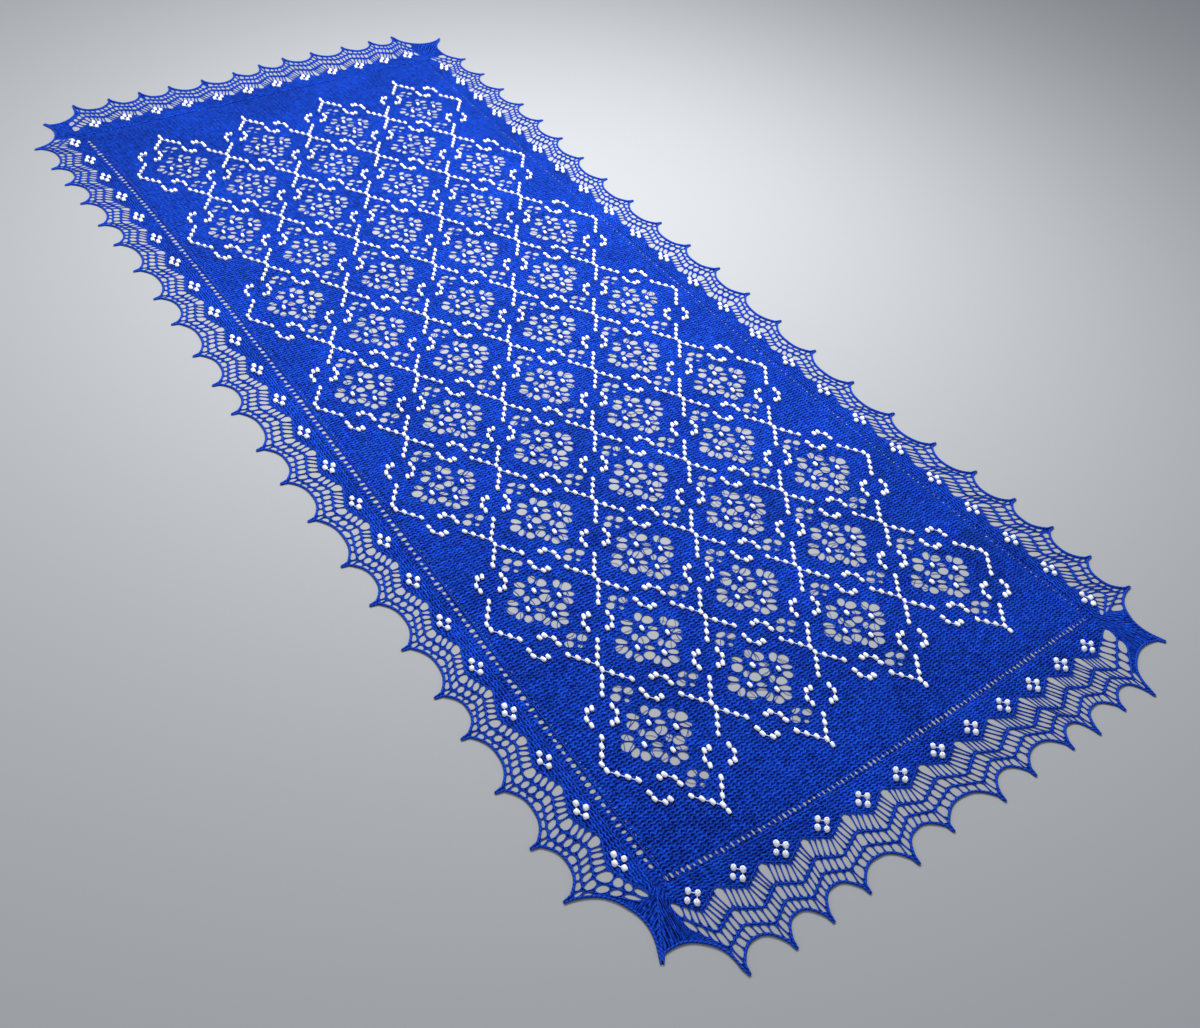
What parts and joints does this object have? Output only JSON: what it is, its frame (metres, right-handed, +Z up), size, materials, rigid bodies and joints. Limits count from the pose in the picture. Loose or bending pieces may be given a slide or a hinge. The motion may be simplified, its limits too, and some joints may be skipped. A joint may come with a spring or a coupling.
{
  "type": "lace shawl",
  "caption": "Long rectangular knitted lace shawl with a beaded diamond trellis, lace flowers and scalloped edging, laid flat.",
  "frame": {"origin": "middle of the shawl's outline, at the height of the surface that it lies on", "axes": "+X across the shawl to the right, +Y along it to the far end, +Z up off the surface"},
  "size_m": [0.6504, 1.4402, 0.0026],
  "materials": {
    "knitted_wool": "royal blue wool in plain knitting, matt with a soft halo of fibres",
    "lace_wool": "royal blue wool in open ladders of single strands with raised cords, matt",
    "white_glass": "opaque white glass seed beads, glossy"
  },
  "bodies": {
    "root": {"centre_panel": "knitted_wool", "edging_near": "lace_wool", "edging_far": "lace_wool", "edging_left": "lace_wool", "edging_right": "lace_wool"}
  },
  "joints": []
}
